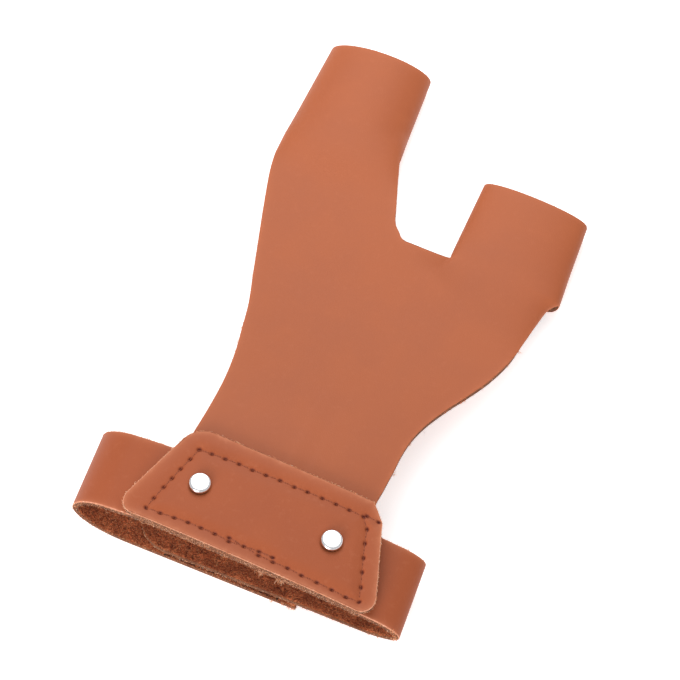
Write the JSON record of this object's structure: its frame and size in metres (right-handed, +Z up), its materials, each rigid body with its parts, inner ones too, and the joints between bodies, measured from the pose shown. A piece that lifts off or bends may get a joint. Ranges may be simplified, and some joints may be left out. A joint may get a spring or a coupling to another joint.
{
  "type": "archery glove",
  "caption": "Leather bow-hand glove: a palm panel with open index and thumb tubes, a stitched and riveted wrist patch and a lapped wrist strap loop.",
  "frame": {"origin": "on the table, under the middle of the glove's bounding box", "axes": "+X across the wrist from the index side to the thumb side, +Y from the wrist strap to the fingertips, +Z up from the table"},
  "size_m": [0.1, 0.1734, 0.0252],
  "materials": {
    "panel_leather": "smooth satin tan leather with a suede flesh side",
    "patch_leather": "smooth satin brown leather with raw cut edges",
    "strap_leather": "smooth satin brown leather with a napped suede flesh side",
    "thread": "dark red-brown sewing thread",
    "hook_and_loop": "black woven hook-and-loop tape",
    "rivet_metal": "bright nickel-plated rivet cap"
  },
  "bodies": {
    "root": {"glove_body": "panel_leather", "wrist_patch": "patch_leather", "strap_outer": "strap_leather", "strap_inner": "strap_leather", "fastener_pad": "hook_and_loop", "rivet_left": "rivet_metal", "rivet_right": "rivet_metal"}
  },
  "joints": []
}
